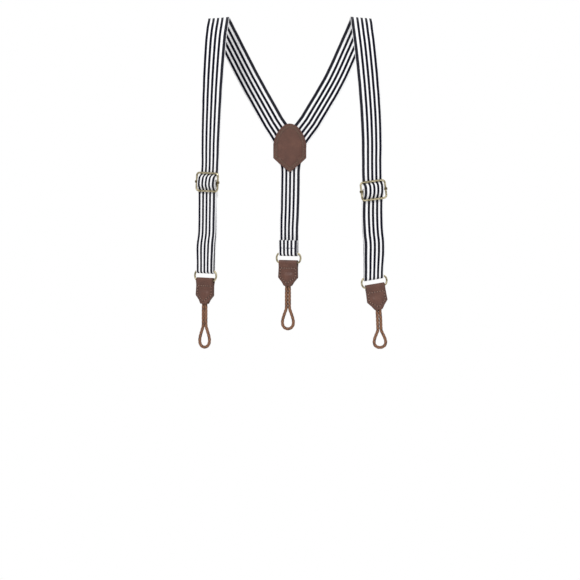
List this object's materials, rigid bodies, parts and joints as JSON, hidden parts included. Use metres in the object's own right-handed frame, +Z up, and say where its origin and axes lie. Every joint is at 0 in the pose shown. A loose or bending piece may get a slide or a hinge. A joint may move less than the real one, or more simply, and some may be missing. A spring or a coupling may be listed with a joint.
{
  "type": "suspenders",
  "caption": "Y-back button-on suspenders of striped elastic webbing with leather yoke and tabs, wire slide adjusters, rings and braided cord button loops.",
  "frame": {"origin": "midway between the two shoulders, level with the underside of the straps' crests", "axes": "+Z up, X across the shoulders, -Y the chest side, +Y the back"},
  "size_m": [0.1747, 0.0846, 0.3007],
  "materials": {
    "webbing": "woven elastic webbing, navy and white stripes",
    "leather": "smooth brown leather, stitched",
    "brass": "antique brass plated wire",
    "cord": "braided tan cord"
  },
  "bodies": {
    "harness": {"yoke_inner": "leather", "yoke_outer": "leather", "left_strap_shoulder": "webbing", "left_strap_travel": "webbing", "right_strap_shoulder": "webbing", "right_strap_travel": "webbing", "back_strap": "webbing"},
    "left_adjuster": {"left_adjuster_frame": "brass", "left_strap_front_ply": "webbing", "left_strap_back_ply": "webbing"},
    "left_bar": {"left_adjuster_bar": "brass"},
    "left_fold": {"left_strap_ring_fold": "webbing"},
    "left_ring_body": {"left_ring": "brass"},
    "left_tab_body": {"left_tab": "leather", "left_cord_anchor": "cord"},
    "left_loop_body": {"left_button_loop": "cord"},
    "right_adjuster": {"right_adjuster_frame": "brass", "right_strap_front_ply": "webbing", "right_strap_back_ply": "webbing"},
    "right_bar": {"right_adjuster_bar": "brass"},
    "right_fold": {"right_strap_ring_fold": "webbing"},
    "right_ring_body": {"right_ring": "brass"},
    "right_tab_body": {"right_tab": "leather", "right_cord_anchor": "cord"},
    "right_loop_body": {"right_button_loop": "cord"},
    "back_ring_body": {"back_ring": "brass"},
    "back_tab_body": {"back_tab": "leather", "back_cord_anchor": "cord"},
    "back_loop_body": {"back_button_loop": "cord"}
  },
  "joints": [
    {"name": "left_adjuster_slide", "type": "slide", "parent": "harness", "child": "left_adjuster", "axis": [0.0419, 0, 0.9991], "range_m": [-0.06, 0.06], "deforming": ["left_strap_travel"]},
    {"name": "left_bar_slide", "type": "slide", "parent": "left_adjuster", "child": "left_bar", "axis": [0.0429, -0.03, 0.9986], "range_m": [-0.0012, 0.0012]},
    {"name": "left_fold_slide", "type": "slide", "parent": "left_adjuster", "child": "left_fold", "axis": [0.0419, 0, 0.9991], "range_m": [-0.03, 0.03], "deforming": ["left_strap_front_ply", "left_strap_back_ply"]},
    {"name": "left_ring_swing", "type": "hinge", "parent": "left_fold", "child": "left_ring_body", "pos_m": [-0.07562, -0.03355, -0.2281], "axis": [-0.8282, 0.5587, 0.0436], "range_deg": [-45, 45]},
    {"name": "left_tab_swing", "type": "hinge", "parent": "left_ring_body", "child": "left_tab_body", "pos_m": [-0.07593, -0.03334, -0.23649], "axis": [-0.8282, 0.5587, 0.0436], "range_deg": [-50, 50]},
    {"name": "left_loop_swing", "type": "hinge", "parent": "left_tab_body", "child": "left_loop_body", "pos_m": [-0.07669, -0.03283, -0.25767], "axis": [-0.829, 0.5592, 0], "range_deg": [-40, 40]},
    {"name": "right_adjuster_slide", "type": "slide", "parent": "harness", "child": "right_adjuster", "axis": [-0.0314, 0, 0.9995], "range_m": [-0.06, 0.06], "deforming": ["right_strap_travel"]},
    {"name": "right_bar_slide", "type": "slide", "parent": "right_adjuster", "child": "right_bar", "axis": [-0.1234, -0.0425, 0.9914], "range_m": [-0.0012, 0.0012]},
    {"name": "right_fold_slide", "type": "slide", "parent": "right_adjuster", "child": "right_fold", "axis": [-0.0314, 0, 0.9995], "range_m": [-0.03, 0.03], "deforming": ["right_strap_front_ply", "right_strap_back_ply"]},
    {"name": "right_ring_swing", "type": "hinge", "parent": "right_fold", "child": "right_ring_body", "pos_m": [0.07534, -0.03329, -0.2337], "axis": [-0.965, -0.2051, -0.1633], "range_deg": [-45, 45]},
    {"name": "right_tab_swing", "type": "hinge", "parent": "right_ring_body", "child": "right_tab_body", "pos_m": [0.07668, -0.033, -0.24199], "axis": [-0.965, -0.2051, -0.1633], "range_deg": [-50, 50]},
    {"name": "right_loop_swing", "type": "hinge", "parent": "right_tab_body", "child": "right_loop_body", "pos_m": [0.08006, -0.03228, -0.2629], "axis": [-0.9774, -0.2078, -0.0384], "range_deg": [-40, 40]},
    {"name": "back_ring_swing", "type": "hinge", "parent": "harness", "child": "back_ring_body", "pos_m": [-0.00097, 0.03336, -0.212], "axis": [0.9372, -0.3478, -0.0262], "range_deg": [-45, 45]},
    {"name": "back_tab_swing", "type": "hinge", "parent": "back_ring_body", "child": "back_tab_body", "pos_m": [-0.00117, 0.03344, -0.2204], "axis": [0.9372, -0.3478, -0.0262], "range_deg": [-50, 50]},
    {"name": "back_loop_swing", "type": "hinge", "parent": "back_tab_body", "child": "back_loop_body", "pos_m": [-0.00169, 0.03363, -0.24159], "axis": [0.9375, -0.348, 0], "range_deg": [-40, 40]}
  ],
  "couplings": [
    {"joint": "left_fold_slide", "follows": "left_adjuster_slide", "ratio": -0.5},
    {"joint": "right_fold_slide", "follows": "right_adjuster_slide", "ratio": -0.5}
  ]
}
